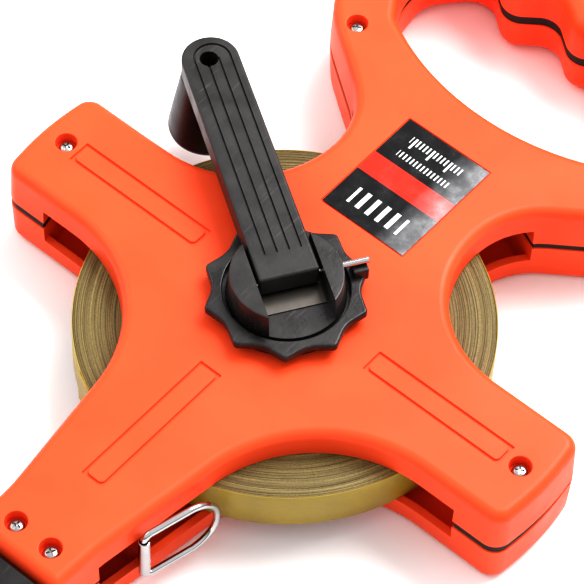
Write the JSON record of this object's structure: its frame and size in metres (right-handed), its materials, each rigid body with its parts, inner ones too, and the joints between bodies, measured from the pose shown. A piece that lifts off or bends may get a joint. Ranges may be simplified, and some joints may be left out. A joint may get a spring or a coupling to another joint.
{
  "type": "surveyor tape reel",
  "caption": "Open-frame surveyor tape reel: orange two-shell frame with carrying handle, wound tape, folding hand crank and pull ring.",
  "frame": {"origin": "on the reel's axis, in the plane of the flat rear face", "axes": "+Z along the reel's axis out of the crank side, +Y to the carrying handle, -Y to the tape's mouth, +X to the right with the crank side facing the viewer"},
  "size_m": [0.2166, 0.3275, 0.0514],
  "materials": {
    "orange_shell": "satin moulded ABS, fluorescent orange, fine spark texture",
    "seam_rubber": "soft black rubber",
    "black_plastic": "satin moulded plastic",
    "hub_plastic": "semi-gloss glass-filled nylon, lightly scuffed",
    "grip_plastic": "semi-gloss moulded plastic",
    "label_print": null,
    "nylon": "natural nylon",
    "tape_face": "yellow PVC-coated glass-fibre tape",
    "tape_edge": "edges of wound tape",
    "chromed_steel": "bright chrome",
    "plain_steel": "turned steel",
    "spring_steel": "satin spring steel",
    "plated_screw": "bright zinc plate"
  },
  "bodies": {
    "frame": {"front_shell": "orange_shell", "rear_shell": "orange_shell", "left_gasket": "seam_rubber", "right_gasket": "seam_rubber", "mouth_gasket": "seam_rubber", "handle_gasket": "seam_rubber", "case_screw_1": "plated_screw", "case_screw_2": "plated_screw", "case_screw_3": "plated_screw", "case_screw_4": "plated_screw", "case_screw_5": "plated_screw", "case_screw_6": "plated_screw", "case_screw_7": "plated_screw", "case_screw_8": "plated_screw", "mouth_guard": "black_plastic", "front_label": "label_print", "rear_bush": "nylon", "front_bush": "nylon", "thrust_washer": "nylon", "tape_lead": "tape_face", "ring_clip": "chromed_steel"},
    "spool": {"spindle": "plain_steel", "spindle_screw": "plated_screw", "spool_drum": "black_plastic", "tape_roll": "tape_edge", "crank_boss": "hub_plastic", "knob_disc": "hub_plastic", "detent_spring": "spring_steel", "hinge_pin": "chromed_steel"},
    "crank": {"crank_arm": "hub_plastic", "grip_post": "hub_plastic", "grip_screw": "plated_screw"},
    "grip": {"crank_grip": "grip_plastic"},
    "ring": {"end_ring": "chromed_steel"}
  },
  "joints": [
    {"name": "spool_spin", "type": "hinge", "parent": "frame", "child": "spool", "pos_m": [0, 0, 0.01835], "axis": [0, 0, 1], "range_deg": [-17, 9]},
    {"name": "crank_fold", "type": "hinge", "parent": "spool", "child": "crank", "pos_m": [-0.0005, 0.00032, 0.0473], "axis": [0.5417, 0.8406, 0], "range_deg": [0, 180]},
    {"name": "grip_spin", "type": "hinge", "parent": "crank", "child": "grip", "pos_m": [-0.07758, 0.05, 0.03], "axis": [0, 0, 1], "continuous": true},
    {"name": "ring_swing", "type": "hinge", "parent": "frame", "child": "ring", "pos_m": [0.024, -0.0955, 0.019], "axis": [0, 0, 1], "range_deg": [-150, 5]}
  ]
}
